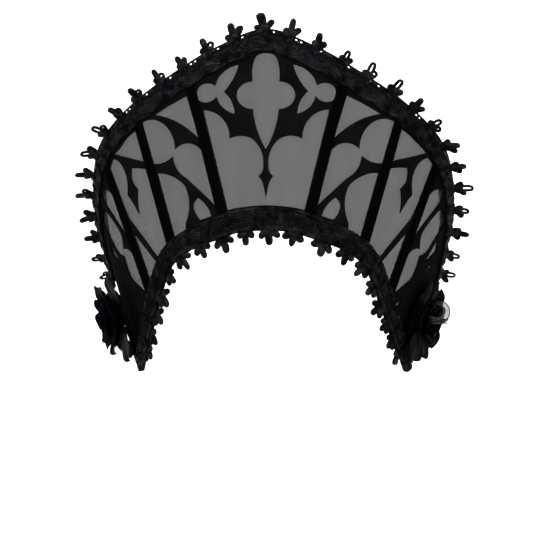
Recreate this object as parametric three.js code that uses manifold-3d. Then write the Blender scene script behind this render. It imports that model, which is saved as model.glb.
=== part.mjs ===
// A halo headdress: a tall fan of sheer stiffened net that stands up round the face.
// Black felt cut as window tracery lies on the net, with three straight ribs a side over it.
// Guipure lace binds the far edge and the edge that sits on the head, and a rose of folded
// satin sits on each lower end. Millimetres, +Z up, the wearer faces -Y. The origin is the
// middle of the forehead lace's lower edge.
import * as THREE from "three";
import Module from "manifold-3d";

// Stations of the fan's right half, from the middle round to the end. Inner is the edge that
// sits on the head, outer the far edge of the net. The left half is its mirror image.
const STATIONS = [
  { at: "middle", inner: [0, 0, 0], outer: [0, 0, 138.5] },
  { at: "brow", inner: [13.5, 1, -0.5], outer: [31.5, 2, 127.5] },
  { at: "inner rib", inner: [26.5, 4, -3.5], outer: [56, 7, 114.5] },
  { at: "middle rib", inner: [64, 18, -20.5], outer: [95, 25, 89.5] },
  { at: "outer rib", inner: [80, 41, -57], outer: [122.5, 53.5, 62] },
  { at: "side", inner: [88, 60, -81], outer: [131, 82.5, 28] },
  { at: "low side", inner: [92.5, 73, -92], outer: [127, 102.5, -5] },
  { at: "end", inner: [96.5, 86, -103], outer: [119, 116.5, -35] },
];

// Thickness of each layer, the play between one layer and the next, and the play that the
// fan's twisted ends need besides
const NET = 1;
const FELT = 1.4;
const RIB = 1.5;
const LACE = 1.4;
const SATIN = 1.2;
const PLAY = 0.3;
const END_PLAY = 0.3;

// Widths of the trimmings. The forehead lace narrows evenly towards the sides.
const RIM_LACE_WIDTH = 12.5;
const HEAD_LACE = { middle: 16, side: 10, narrowsOver: 160, turnedUnder: 9 };
const END_LACE = { width: 5 };
const LACE_ROUNDING = 0.9;
const RIB_WIDTH = 7;
const RIB_CHAMFER = 0.8;
const CLEAR = 0.4;

// Picots: how many to each side of the middle one, and how far apart they stand
const RIM_PICOTS = { aSide: 14, apart: 19.4 };
const HEAD_PICOTS = { aSide: 9, apart: 17.5 };
const PICOT = { thickness: 1.6, rootWidth: 3.4, rootDepth: 1.1, lobeStep: 80 };
// A picot's three round lobes, and the part of each circle that shows, in degrees
const PICOT_LOBES = [
  { across: 2.6, up: 2.6, radius: 2.1, from: -75, to: 60 },
  { across: 0, up: 6, radius: 2.1, from: -30, to: 210 },
  { across: -2.6, up: 2.6, radius: 2.1, from: 120, to: 255 },
];

// Where a rose sits on the fan, its pad, its rows of petals from the outside in, and the
// rolled strip in its middle
const ROSE = { station: 6.1, up: 34 };
const ROSE_PAD = { radius: 11.5, sides: 12, height: 4.5 };
const PETAL_ROWS = [
  { count: 5, turned: 18, root: 10, tip: 31, low: 3.5, rise: 12, curl: 3, notch: 0.09, lap: 3.5 },
  { count: 4, turned: 50, root: 8.3, tip: 23, low: 3.5, rise: 18.5, curl: 3.5, notch: 0.1, lap: 3 },
  { count: 3, turned: 0, root: 6.6, tip: 14.5, low: 3.5, rise: 19, curl: 1.5, notch: 0.1, lap: 2.5 },
];
const PETAL_STEPS = { across: [0, 0.3, 0.7, 0.97], along: 3 };
const HEART = { turns: 1.6, inside: 0.6, pitch: 2.1, wall: 1.2, low: 4.8, height: 17, step: 48 };

// Fineness of the sheets and of the cut arcs
const COLUMNS = 36;
const ROWS = 3;
const ARC_STEP = 11;
const LONGEST_SIDE = 24;
const CUT_DEPTH = 5;

// Levels outwards of the net's middle surface
const FELT_BACK = NET / 2 + PLAY;
const FELT_FRONT = FELT_BACK + FELT;
const LACE_INSIDE = FELT_FRONT + PLAY;
const LACE_FRONT = LACE_INSIDE + LACE;
const LACE_LINING = -NET / 2 - PLAY;
const LACE_BACK = LACE_LINING - LACE;
const FOLD = LACE + PLAY;

// A corner of a gap: how far across the fan from its middle line, how far up from the
// head's edge, and how far the side that follows bows out of the gap, or into it if minus
function corner(across, up, bow = 0) {
  return { across, up, bow };
}

// Gaps of the tracery's right half, each anticlockwise as seen from the front
const SIDE_GAPS = {
  trefoil: [
    corner(15, 116.5, 1.5),
    corner(25.3, 99, 1.6),
    corner(20.4, 82.6, 2.6),
    corner(29.8, 96.6, 12.2),
    corner(29.5, 103.6, 3),
  ],
  shoulder_spandrel: [
    corner(49, 103),
    corner(47.8, 71.5, -2.8),
    corner(76, 99.3),
  ],
  shoulder_light: [
    corner(88, 99.8, 8.5),
    corner(67.8, 70.4, 7),
    corner(47.2, 57),
    corner(48.6, 23.5),
    corner(65, 48.7, 2.5),
    corner(70.8, 66.8, 2.4),
    corner(87.6, 69.5),
  ],
  shoulder_foot: [
    corner(86.6, 61.2, 2.1),
    corner(67.5, 43.7, 3.3),
    corner(74.5, 19),
    corner(75.5, 15),
    corner(86.6, 14.6),
  ],
  shoulder_arch: [
    corner(53.5, 17),
    corner(62.5, 17, 0.6),
    corner(65.2, 24.5, 2),
    corner(60, 32.2, 1.6),
  ],
  side_spandrel: [
    corner(95.3, 99.5),
    corner(95.8, 76.5, 0.5),
    corner(124.5, 109.3),
    corner(110, 104),
  ],
  side_light: [
    corner(94.8, 14.2),
    corner(109.7, 14.4),
    corner(132, 65.5, 0.6),
    corner(134.4, 85),
    corner(135.4, 109.5, 1.2),
    corner(128, 108.7, 2.4),
    corner(118.3, 87, 1.6),
    corner(124.3, 77.5, 0.5),
    corner(117.8, 57.2, 1.3),
    corner(110.5, 68.4),
    corner(113.8, 76.5, 1.1),
    corner(110.6, 84.5),
    corner(95, 70.3),
  ],
  side_foot: [
    corner(113.7, 15.4),
    corner(132.6, 16),
    corner(132.9, 56.5),
  ],
  end_lancet: [
    corner(164.3, 110.3, 6.3),
    corner(141.6, 85),
    corner(140.4, 54.5),
  ],
  end_light: [
    corner(167.3, 102.5, 1.3),
    corner(151.8, 71.5, 1.7),
    corner(157.3, 62.5, 2.9),
    corner(142, 42.5),
    corner(142.3, 16),
    corner(161.4, 42, 1.7),
    corner(161.2, 60.3, 2.2),
    corner(173.3, 78),
    corner(181.5, 100.5),
  ],
  end_spandrel: [
    corner(172.8, 62.7),
    corner(185.5, 79.2),
    corner(179.5, 86.3),
  ],
  end_chink: [
    corner(182.5, 64.7),
    corner(188, 67),
    corner(191, 73),
  ],
  end_foot: [
    corner(149.5, 11.6),
    corner(155.8, 12.6),
    corner(157.5, 24.5),
  ],
};

// Right halves of the two gaps on the middle line, from its lowest corner round to its top
// one. In the lower gap a dagger-shaped drop hangs down from the top.
const MIDDLE_GAPS = {
  quatrefoil: [
    corner(0, 56.8, 2),
    corner(8.1, 85, 9.9),
    corner(7.6, 104.2, 0.7),
    corner(6.3, 118.8, 1.6),
    corner(0, 124),
  ],
  middle_light: [
    corner(0, 17.6),
    corner(39, 16.8),
    corner(39.8, 89.3, 5.2),
    corner(26.3, 65.6, 1.9),
    corner(10, 64.2, 1.9),
    corner(2, 48.2),
    corner(2.2, 43.6, 0.8),
    corner(6.6, 38, 0.7),
    corner(2.2, 31),
    corner(0, 22.5),
  ],
};

// The fan's surface is ruled: a straight line joins each point of the inner edge to the
// point of the outer edge at the same parameter.

function edgeCurve(side) {
  const right = STATIONS.map((station) => new THREE.Vector3(...station[side]));
  const left = right.slice(1).reverse().map((point) => new THREE.Vector3(-point.x, point.y, point.z));
  return smoothCurve([...left, ...right]);
}

function smoothCurve(points) {
  const curve = new THREE.CatmullRomCurve3(points, false, "catmullrom");
  curve.arcLengthDivisions = 1400;
  return curve;
}

const innerEdge = edgeCurve("inner");
const outerEdge = edgeCurve("outer");
const middleLine = smoothCurve(innerEdge.points.map((point, i) => point.clone().lerp(outerEdge.points[i], 0.5)));
const HALF_WIDTH = middleLine.getLength() / 2;

// Distances across the fan are measured along its middle line, up it along its straight lines
function parameterAt(across) {
  const inside = THREE.MathUtils.clamp(HALF_WIDTH + across, 0, 2 * HALF_WIDTH);
  return middleLine.getUtoTmapping(0, inside);
}

function acrossAtStation(station) {
  const lengths = middleLine.getLengths();
  const share = (1 + station / (STATIONS.length - 1)) / 2;
  return lengths[Math.round(share * (lengths.length - 1))] - HALF_WIDTH;
}

function heightAt(across) {
  const u = parameterAt(across);
  return innerEdge.getPoint(u).distanceTo(outerEdge.getPoint(u));
}

function onSurface(u, up) {
  const foot = innerEdge.getPoint(u);
  const rise = outerEdge.getPoint(u).sub(foot).normalize();
  return foot.addScaledVector(rise, up);
}

// The surface at a place: its point, and unit vectors sideways, up and outwards
function frameAt(across, up) {
  const u = parameterAt(across);
  const nearby = 0.002;
  const before = onSurface(Math.max(u - nearby, 0), up);
  const after = onSurface(Math.min(u + nearby, 1), up);
  const point = onSurface(u, up);
  const rise = onSurface(u, up + 1).sub(point);
  const along = after.sub(before).normalize();
  const outwards = along.clone().cross(rise).normalize();
  return { point, along, rise, outwards, sideways: rise.clone().cross(outwards) };
}

// A point `level` outwards of the net's middle surface. Past an end the surface runs on.
function fan(across, up, level) {
  const { point, along, outwards } = frameAt(across, up);
  const beyond = across - THREE.MathUtils.clamp(across, -HALF_WIDTH, HALF_WIDTH);
  return point.addScaledVector(along, beyond).addScaledVector(outwards, level);
}

// How much longer a width is along the straight lines than square to the outer edge
function rimSlant(across) {
  const { rise } = frameAt(across, heightAt(across));
  const edgeWay = outerEdge.getTangent(parameterAt(across));
  return 1 / Math.sqrt(1 - edgeWay.dot(rise) ** 2);
}

function rimLaceFoot(across) {
  return heightAt(across) - RIM_LACE_WIDTH * rimSlant(across);
}

function headLaceTop(across) {
  const share = Math.min(Math.abs(across) / HEAD_LACE.narrowsOver, 1);
  return THREE.MathUtils.lerp(HEAD_LACE.middle, HEAD_LACE.side, share);
}

// Solids

function solidShape(positions, index) {
  const geometry = new THREE.BufferGeometry();
  geometry.setAttribute("position", new THREE.Float32BufferAttribute(positions, 3));
  geometry.setIndex(index);
  geometry.computeVertexNormals();
  return geometry;
}

// Triangles between loop `k` and loop `next`. Where the outline climbs, the four-cornered
// faces are split the other way, so that the two sides of a sheet bend alike.
function band(k, next, flat) {
  const count = flat.length;
  return flat.flatMap((here, i) => {
    const j = (i + 1) % count;
    const [a, b, c, d] = [k * count + i, k * count + j, next * count + j, next * count + i];
    return flat[j].x > here.x ? [a, b, d, b, c, d] : [a, b, c, a, c, d];
  });
}

// Closed solid through loops of points, each anticlockwise about the way they advance.
// `flat` is the loops' outline in a plane, which shapes the two end faces.
function loft(loops, flat) {
  const index = loops.slice(1).flatMap((_, k) => band(k, k + 1, flat));
  const last = (loops.length - 1) * flat.length;
  for (const [a, b, c] of THREE.ShapeUtils.triangulateShape(flat, [])) {
    index.push(a, c, b, last + a, last + b, last + c);
  }
  return solidShape(loops.flat().flatMap((point) => point.toArray()), index);
}

function flatten(pairs) {
  return pairs.map(([x, y]) => new THREE.Vector2(x, y));
}

const wasm = await Module();
wasm.setup();

function toManifold(geometry) {
  return new wasm.Manifold(new wasm.Mesh({
    numProp: 3,
    vertProperties: new Float32Array(geometry.getAttribute("position").array),
    triVerts: new Uint32Array(geometry.getIndex().array),
  }));
}

function toGeometry(manifold) {
  const mesh = manifold.getMesh();
  return solidShape(Array.from(mesh.vertProperties), Array.from(mesh.triVerts));
}

function fused(geometries) {
  return toGeometry(geometries.map(toManifold).reduce((whole, next) => whole.add(next)));
}

// A sheet or strip from end to end of the fan. `section` gives its closed outline at a
// place, as pairs of up and level.
function runAcross(section) {
  const places = Array.from({ length: COLUMNS + 1 }, (_, k) => HALF_WIDTH * (2 * k / COLUMNS - 1));
  const loops = places.map((across) => section(across).map(([up, level]) => fan(across, up, level)));
  return loft(loops, flatten(section(0)));
}

function sheet(back, front) {
  return runAcross((across) => {
    const top = heightAt(across);
    const ups = Array.from({ length: ROWS + 1 }, (_, k) => THREE.MathUtils.lerp(FOLD, top, k / ROWS));
    return [...ups.map((up) => [up, back]), ...ups.reverse().map((up) => [up, front])];
  });
}

// Tracery

// Points of a corner's side, up to the next corner, on the arc that its bow gives
function sidePoints(from, to) {
  const start = new THREE.Vector2(from.across, from.up);
  const end = new THREE.Vector2(to.across, to.up);
  const chord = start.distanceTo(end);
  if (from.bow === 0) {
    const count = Math.ceil(chord / LONGEST_SIDE);
    return Array.from({ length: count }, (_, k) => start.clone().lerp(end, k / count));
  }
  const halfAngle = 2 * Math.atan2(2 * Math.abs(from.bow), chord);
  const radius = chord / (2 * Math.sin(halfAngle));
  const count = Math.max(2, Math.round(2 * halfAngle * radius / ARC_STEP));
  const forward = end.clone().sub(start).normalize();
  const outward = new THREE.Vector2(forward.y, -forward.x).multiplyScalar(Math.sign(from.bow));
  const centre = start.clone().lerp(end, 0.5).addScaledVector(outward, Math.abs(from.bow) - radius);
  return Array.from({ length: count }, (_, k) => {
    const angle = halfAngle * (2 * k / count - 1);
    const point = centre.clone().addScaledVector(forward, radius * Math.sin(angle));
    return point.addScaledVector(outward, radius * Math.cos(angle));
  });
}

function mirrorImage(corners) {
  const flipped = corners.map((here, i) => {
    const before = corners.at(i - 1);
    return corner(-here.across, here.up, before.bow);
  });
  return flipped.reverse();
}

function bothHalves(half) {
  const left = half.slice(1).map((here, i) => corner(-here.across, here.up, half[i].bow));
  return [...half.slice(0, -1), ...left.reverse()];
}

function gapCutter(corners) {
  const flat = corners.flatMap((here, i) => sidePoints(here, corners[(i + 1) % corners.length]));
  const loops = [-CUT_DEPTH, CUT_DEPTH].map((level) => flat.map((point) => fan(point.x, point.y, level)));
  return toManifold(loft(loops, flat));
}

function tracery() {
  const gaps = [
    ...Object.values(MIDDLE_GAPS).map(bothHalves),
    ...Object.values(SIDE_GAPS),
    ...Object.values(SIDE_GAPS).map(mirrorImage),
  ];
  const cloth = toManifold(sheet(FELT_BACK, FELT_FRONT));
  return toGeometry(gaps.reduce((rest, corners) => rest.subtract(gapCutter(corners)), cloth));
}

// A straight rib up the fan, over the tracery, from the forehead lace to the rim lace
function rib(across) {
  const half = RIB_WIDTH / 2;
  const back = LACE_INSIDE;
  const front = LACE_INSIDE + RIB;
  const section = [
    [back, -half], [front - RIB_CHAMFER, -half], [front, RIB_CHAMFER - half],
    [front, half - RIB_CHAMFER], [front - RIB_CHAMFER, half], [back, half],
  ];
  const foot = stretchAt(across, HEAD_LACE.middle);
  const head = stretchAt(across, heightAt(across));
  const loops = [0, 0.5, 1].map((share) => section.map(([level, offset]) => {
    const low = headLaceTop(across + offset * foot) + CLEAR;
    const high = rimLaceFoot(across + offset * head) - CLEAR;
    const up = THREE.MathUtils.lerp(low, high, share);
    return fan(across + offset * stretchAt(across, up), up, level);
  }));
  return loft(loops, flatten(section));
}

// Distance across, on the middle line, for each millimetre square to a straight line there
function stretchAt(across, up) {
  const step = 1;
  const before = frameAt(across - step, up);
  const after = frameAt(across + step, up);
  return 2 * step / after.point.sub(before.point).dot(before.sideways);
}

// Lace

function rimLaceSection(across) {
  const slant = rimSlant(across);
  const top = heightAt(across);
  const foot = rimLaceFoot(across);
  const inside = top + PLAY * slant;
  const outside = top + FOLD * slant;
  const rounded = outside - LACE_ROUNDING;
  return [
    [foot, LACE_BACK], [rounded, LACE_BACK], [outside, LACE_BACK + LACE_ROUNDING],
    [outside, LACE_FRONT - LACE_ROUNDING], [rounded, LACE_FRONT], [foot, LACE_FRONT],
    [foot, LACE_INSIDE], [inside, LACE_INSIDE], [inside, LACE_LINING], [foot, LACE_LINING],
  ];
}

function headLaceSection(across) {
  const top = headLaceTop(across);
  const under = HEAD_LACE.turnedUnder;
  return [
    [LACE_ROUNDING, LACE_BACK], [under, LACE_BACK], [under, LACE_LINING], [LACE, LACE_LINING],
    [LACE, LACE_INSIDE], [top, LACE_INSIDE], [top, LACE_FRONT], [LACE_ROUNDING, LACE_FRONT],
    [0, LACE_FRONT - LACE_ROUNDING], [0, LACE_BACK + LACE_ROUNDING],
  ];
}

function picotOutline() {
  const half = PICOT.rootWidth / 2;
  const points = [new THREE.Vector2(-half, -PICOT.rootDepth), new THREE.Vector2(half, -PICOT.rootDepth)];
  for (const { across, up, radius, from, to } of PICOT_LOBES) {
    const count = Math.round((to - from) / PICOT.lobeStep);
    for (let k = 0; k <= count; k += 1) {
      const angle = THREE.MathUtils.degToRad(from + (to - from) * k / count);
      points.push(new THREE.Vector2(across + radius * Math.cos(angle), up + radius * Math.sin(angle)));
    }
  }
  return points;
}

// A picot on the fold of a lace, square to its edge. `reach` is the fold's height at a
// place, and `way` is 1 where picots point up the fan and -1 where they hang.
function picot(across, reach, way) {
  const flat = picotOutline();
  const { outwards } = frameAt(across, reach(across));
  const root = fan(across, reach(across), 0);
  const along = fan(across + 1, reach(across + 1), 0).sub(fan(across - 1, reach(across - 1), 0)).normalize();
  const out = outwards.clone().cross(along).normalize().multiplyScalar(way);
  const middle = (LACE_FRONT + LACE_BACK) / 2;
  const loops = [-0.5, 0.5].map((side) => flat.map((point) => root.clone()
    .addScaledVector(along, point.x * way)
    .addScaledVector(out, point.y)
    .addScaledVector(outwards, middle + side * PICOT.thickness)));
  return loft(loops, flat);
}

// Places for picots evenly apart along an edge, as distances across
function picotPlaces(edge, { aSide, apart }) {
  const half = edge.getLength() / 2;
  return Array.from({ length: 2 * aSide + 1 }, (_, k) => {
    const u = edge.getUtoTmapping(0, half + (k - aSide) * apart);
    const lengths = middleLine.getLengths();
    return lengths[Math.round(u * (lengths.length - 1))] - HALF_WIDTH;
  });
}

function rimLace() {
  const reach = (across) => heightAt(across) + FOLD * rimSlant(across);
  const picots = picotPlaces(outerEdge, RIM_PICOTS).map((across) => picot(across, reach, 1));
  return fused([runAcross(rimLaceSection), ...picots]);
}

function headLace() {
  const picots = picotPlaces(innerEdge, HEAD_PICOTS).map((across) => picot(across, () => 0, -1));
  return fused([runAcross(headLaceSection), ...picots]);
}

// Lace turned over an end of the fan, between the two long laces. `side` is 1 or -1.
function endLace(side) {
  const end = HALF_WIDTH;
  const edge = end - END_LACE.width;
  const front = LACE_FRONT + END_PLAY;
  const back = LACE_BACK - END_PLAY;
  const section = [
    [edge, back], [end + FOLD, back], [end + FOLD, front], [edge, front],
    [edge, front - LACE], [end + PLAY, front - LACE], [end + PLAY, back + LACE], [edge, back + LACE],
  ];
  const low = headLaceTop(end) + CLEAR;
  const high = Math.min(rimLaceFoot(end), rimLaceFoot(edge)) - CLEAR;
  const loops = [low, (low + high) / 2, high].map((up) =>
    section.map(([across, level]) => fan(side * across, up, level)));
  const ordered = side > 0 ? loops.toReversed() : loops;
  return loft(ordered, flatten(section));
}

// Roses

function roseFrame(side) {
  const place = frameAt(side * acrossAtStation(ROSE.station), ROSE.up);
  const origin = place.point.clone().addScaledVector(place.outwards, LACE_INSIDE + END_PLAY);
  return (x, y, z) => origin.clone()
    .addScaledVector(place.sideways, side * x)
    .addScaledVector(place.rise, y)
    .addScaledVector(place.outwards, z);
}

function rosePad(side) {
  const middle = side * acrossAtStation(ROSE.station);
  const stretch = stretchAt(middle, ROSE.up);
  const flat = Array.from({ length: ROSE_PAD.sides }, (_, k) => {
    const angle = 2 * Math.PI * k / ROSE_PAD.sides;
    return new THREE.Vector2(ROSE_PAD.radius * Math.cos(angle), ROSE_PAD.radius * Math.sin(angle));
  });
  const loops = [0, ROSE_PAD.height].map((rise) => flat.map((point) =>
    fan(middle + side * point.x * stretch, ROSE.up + point.y, LACE_INSIDE + END_PLAY + rise)));
  return loft(loops, flat);
}

// A row of petals as one ring of lapped cups. Each petal's later edge stands outside the
// next one's first edge, and its lip dips at both edges.
function petalRow(row, place) {
  const loops = [];
  for (let k = 0; k < row.count; k += 1) {
    for (const share of PETAL_STEPS.across) {
      const angle = THREE.MathUtils.degToRad(row.turned + 360 * (k + share) / row.count);
      loops.push(petalProfile(row, share).map(([out, up]) =>
        place(out * Math.cos(angle), out * Math.sin(angle), up)));
    }
  }
  const flat = flatten(petalProfile(row, 0));
  const index = loops.flatMap((_, k) => band(k, (k + 1) % loops.length, flat));
  return solidShape(loops.flat().flatMap((point) => point.toArray()), index);
}

// A petal's wall cut through at `share` of its width: up its inner face, down its outer one
function petalProfile(row, share) {
  const edge = Math.abs(2 * share - 1);
  const at = (v) => [
    row.root + (row.tip - row.root) * v * (1 - row.notch * edge ** 2) + row.lap * (share - 0.5) * v,
    row.low + row.rise * Math.sin(v * Math.PI / 2) - row.curl * v ** 3 * (1 + 0.5 * edge),
  ];
  const shares = Array.from({ length: PETAL_STEPS.along + 1 }, (_, k) => k / PETAL_STEPS.along);
  const inner = shares.map(at);
  const outer = shares.map((v) => {
    const [out, up] = at(v);
    const [nextOut, nextUp] = at(v + 0.01);
    const run = Math.hypot(nextOut - out, nextUp - up);
    return [out + SATIN * (nextUp - up) / run, up - SATIN * (nextOut - out) / run];
  });
  return [...inner, ...outer.reverse()];
}

function turnedRight(geometry, side) {
  if (side > 0) {
    return geometry;
  }
  const index = Array.from(geometry.getIndex().array);
  for (let i = 0; i < index.length; i += 3) {
    [index[i], index[i + 1]] = [index[i + 1], index[i]];
  }
  return solidShape(Array.from(geometry.getAttribute("position").array), index);
}

function rosePetals(side) {
  const place = roseFrame(side);
  const rows = PETAL_ROWS.map((row) => turnedRight(petalRow(row, place), side));
  return fused([turnedRight(rosePad(side), side), ...rows]);
}

// The rose's middle: a strip rolled into a spiral
function roseHeart(side) {
  const place = roseFrame(side);
  const count = Math.round(360 * HEART.turns / HEART.step);
  const spiral = (wall) => Array.from({ length: count + 1 }, (_, k) => {
    const turn = HEART.turns * k / count;
    const angle = 2 * Math.PI * turn;
    const radius = HEART.inside + HEART.pitch * turn + wall;
    return new THREE.Vector2(radius * Math.cos(angle), radius * Math.sin(angle));
  });
  const flat = [...spiral(HEART.wall), ...spiral(0).reverse()];
  const loops = [HEART.low, HEART.low + HEART.height].map((z) =>
    flat.map((point) => place(point.x, point.y, z)));
  return turnedRight(loft(loops, flat), side);
}

// Finishes
const FINISHES = {
  net: { color: 0x55565a, roughness: 0.7, metalness: 0, transparent: true, opacity: 0.6 },
  felt: { color: 0x26272a, roughness: 0.95, metalness: 0 },
  velvet: { color: 0x0b0b0d, roughness: 1, metalness: 0 },
  lace: { color: 0x15161a, roughness: 0.7, metalness: 0 },
  satin: { color: 0x171a22, roughness: 0.4, metalness: 0 },
};

const headdress = new THREE.Group();

function addPiece(name, geometry, finish) {
  const mesh = new THREE.Mesh(geometry, new THREE.MeshStandardMaterial(FINISHES[finish]));
  mesh.name = name;
  headdress.add(mesh);
}

addPiece("net_panel", sheet(-NET / 2, NET / 2), "net");
addPiece("tracery_applique", tracery(), "felt");
const RIB_STATIONS = { inner: 2, middle: 3, outer: 4 };
for (const [name, station] of Object.entries(RIB_STATIONS)) {
  addPiece(`rib_${name}_left`, rib(-acrossAtStation(station)), "velvet");
  addPiece(`rib_${name}_right`, rib(acrossAtStation(station)), "velvet");
}
addPiece("rim_lace", rimLace(), "lace");
addPiece("forehead_lace", headLace(), "lace");
for (const [name, side] of [["left", -1], ["right", 1]]) {
  addPiece(`end_lace_${name}`, endLace(side), "lace");
  addPiece(`rose_petals_${name}`, rosePetals(side), "satin");
  addPiece(`rose_heart_${name}`, roseHeart(side), "satin");
}

export default headdress;
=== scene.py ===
# A halo headdress, standing as it is worn: a tall fan of sheer stiffened net with felt
# tracery and velvet ribs laid on it, guipure lace folded over its edges and a rose of
# folded satin on each lower end. Metres, +Z up, the front faces -Y.
import math
import random
from functools import partial

import bmesh
import bpy
import numpy as np
from mathutils import Matrix, Vector


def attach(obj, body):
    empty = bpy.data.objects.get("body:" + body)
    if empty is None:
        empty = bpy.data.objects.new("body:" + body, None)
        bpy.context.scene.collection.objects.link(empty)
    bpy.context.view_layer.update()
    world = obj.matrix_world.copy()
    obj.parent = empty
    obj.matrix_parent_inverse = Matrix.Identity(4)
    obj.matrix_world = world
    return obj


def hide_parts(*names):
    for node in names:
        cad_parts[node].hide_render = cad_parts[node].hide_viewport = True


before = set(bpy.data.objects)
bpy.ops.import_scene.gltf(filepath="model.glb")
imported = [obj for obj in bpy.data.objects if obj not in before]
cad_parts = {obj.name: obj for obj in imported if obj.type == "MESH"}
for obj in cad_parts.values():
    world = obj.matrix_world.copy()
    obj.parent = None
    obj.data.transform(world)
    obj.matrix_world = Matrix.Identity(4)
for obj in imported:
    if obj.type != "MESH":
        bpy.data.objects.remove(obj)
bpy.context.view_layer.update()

MM = 0.001

# Stations of the fan's right half in millimetres, from the middle round to the end: the
# inner edge, which the forehead's lace goes over, and the far edge
STATIONS = [
    {"at": "middle", "inner": (0, 0, 0), "outer": (0, 0, 138.5)},
    {"at": "brow", "inner": (13.5, 1, -0.5), "outer": (31.5, 2, 127.5)},
    {"at": "inner rib", "inner": (26.5, 4, -3.5), "outer": (56, 7, 114.5)},
    {"at": "middle rib", "inner": (64, 18, -20.5), "outer": (95, 25, 89.5)},
    {"at": "outer rib", "inner": (80, 41, -57), "outer": (122.5, 53.5, 62)},
    {"at": "side", "inner": (88, 60, -81), "outer": (131, 82.5, 28)},
    {"at": "low side", "inner": (92.5, 73, -92), "outer": (127, 102.5, -5)},
    {"at": "end", "inner": (96.5, 86, -103), "outer": (119, 116.5, -35)},
]
RIB_STATIONS = {"inner": 2, "middle": 3, "outer": 4}
ROSE_STATION = 6.1

# Levels outwards of the net's middle surface, and the thickness of each cloth
NET_THICKNESS = 0.35 * MM
FELT_BACK = 0.8 * MM
FELT = 1.4 * MM
RIB_BACK = 2.5 * MM
RIB = 1.5 * MM
RIB_WIDTH = 7 * MM
LACE = 0.9 * MM
ROSE_SEAT = 2.8 * MM

# Laces folded over an edge: the levels of their front and back layers, and how far the
# fold stands in from the edge
RIM_FOLD = {"front": 3.2 * MM, "back": -1.5 * MM, "top": 0.6 * MM}
INNER_FOLD = {"front": 3.2 * MM, "back": -1.5 * MM, "top": 0.7 * MM}
END_FOLD = {"front": 3.6 * MM, "back": -1.8 * MM, "top": -0.8 * MM}
RIM_WIDTH = 12.5 * MM
INNER_WIDTH = {"middle": 16 * MM, "side": 10 * MM, "narrows_over": 160 * MM, "turned_under": 9 * MM}
END_WIDTH = 5 * MM
# Inside the laces, the net and the felt stop this far short of the edges
LAP = 3 * MM

RIM_REPEAT = {"aside": 14, "apart": 19.4 * MM}
INNER_REPEAT = {"aside": 9, "apart": 17.5 * MM}

# How far each lace was eased along its edge as it was sewn on: places along it from the
# middle, and the shift there, in millimetres
RIM_EASE = [
    (-279, 0), (-252, -7.5), (-175, -12), (-19, -3.5), (0, -0.6), (19, -3), (58, 0), (175, 6), (252, 4),
    (279, 0),
]
INNER_EASE = [(-184, 0), (-60, 3), (-17, 3), (0, 1), (17, 2.5), (35, 8), (110, 8), (184, 0)]

# The surface: a straight line joins each point of the inner edge to the point of the outer
# edge at the same parameter


def edge_points(side):
    right = np.array([station[side] for station in STATIONS], float) * MM
    left = right[:0:-1] * (-1, 1, 1)
    return np.vstack([left, right])


def point_on(edge, parameter):
    """Points of the smooth curve through an edge's stations, for parameters from 0 to 1."""
    last = len(edge) - 1
    place = np.clip(parameter, 0, 1) * last
    segment = np.minimum(place.astype(int), last - 1)
    w = (place - segment)[:, None]
    run = np.vstack([2 * edge[0] - edge[1], edge, 2 * edge[-1] - edge[-2]])
    p0, p1, p2, p3 = (run[segment + k] for k in range(4))
    t0, t1 = (p2 - p0) / 2, (p3 - p1) / 2
    return (2 * (p1 - p2) + t0 + t1) * w**3 + (3 * (p2 - p1) - 2 * t0 - t1) * w**2 + t0 * w + p1


INNER = edge_points("inner")
OUTER = edge_points("outer")
PARAMETERS = np.linspace(0, 1, 2801)


def lengths_along(edge):
    """Distances along an edge from its middle, at each of PARAMETERS."""
    steps = np.linalg.norm(np.diff(point_on(edge, PARAMETERS), axis=0), axis=1)
    lengths = np.concatenate([[0], np.cumsum(steps)])
    return lengths - lengths[-1] / 2


MIDDLE_LENGTHS = lengths_along((INNER + OUTER) / 2)
INNER_LENGTHS = lengths_along(INNER)
OUTER_LENGTHS = lengths_along(OUTER)
HALF_WIDTH = MIDDLE_LENGTHS[-1]
HALF_RIM = OUTER_LENGTHS[-1]
HALF_INNER = INNER_LENGTHS[-1]


def unit(vectors):
    return vectors / np.linalg.norm(vectors, axis=-1, keepdims=True)


def dot(a, b):
    return np.sum(a * b, axis=-1)


def across_at(parameter):
    return np.interp(parameter, PARAMETERS, MIDDLE_LENGTHS)


def across_at_station(station):
    return float(across_at((1 + station / (len(STATIONS) - 1)) / 2))


def height_at(across):
    u = np.interp(across, MIDDLE_LENGTHS, PARAMETERS)
    return np.linalg.norm(point_on(OUTER, u) - point_on(INNER, u), axis=1)


def on_surface(parameter, up):
    foot = point_on(INNER, parameter)
    return foot + unit(point_on(OUTER, parameter) - foot) * up[:, None]


def frame_at(across, up):
    """The surface's points at places across and up it, with vectors along, up and outwards."""
    u = np.interp(across, MIDDLE_LENGTHS, PARAMETERS)
    nearby = 0.002
    before = on_surface(np.maximum(u - nearby, 0), up)
    after = on_surface(np.minimum(u + nearby, 1), up)
    along = unit(after - before)
    rise = unit(point_on(OUTER, u) - point_on(INNER, u))
    outwards = unit(np.cross(along, rise))
    return on_surface(u, up), along, rise, outwards


def fan(flat):
    """Where flat places lie on the fan: across it, up it, and outwards of its surface."""
    across, up, level = flat.T
    point, along, _, outwards = frame_at(across, up)
    beyond = across - np.clip(across, -HALF_WIDTH, HALF_WIDTH)
    return point + along * beyond[:, None] + outwards * level[:, None]


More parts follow.
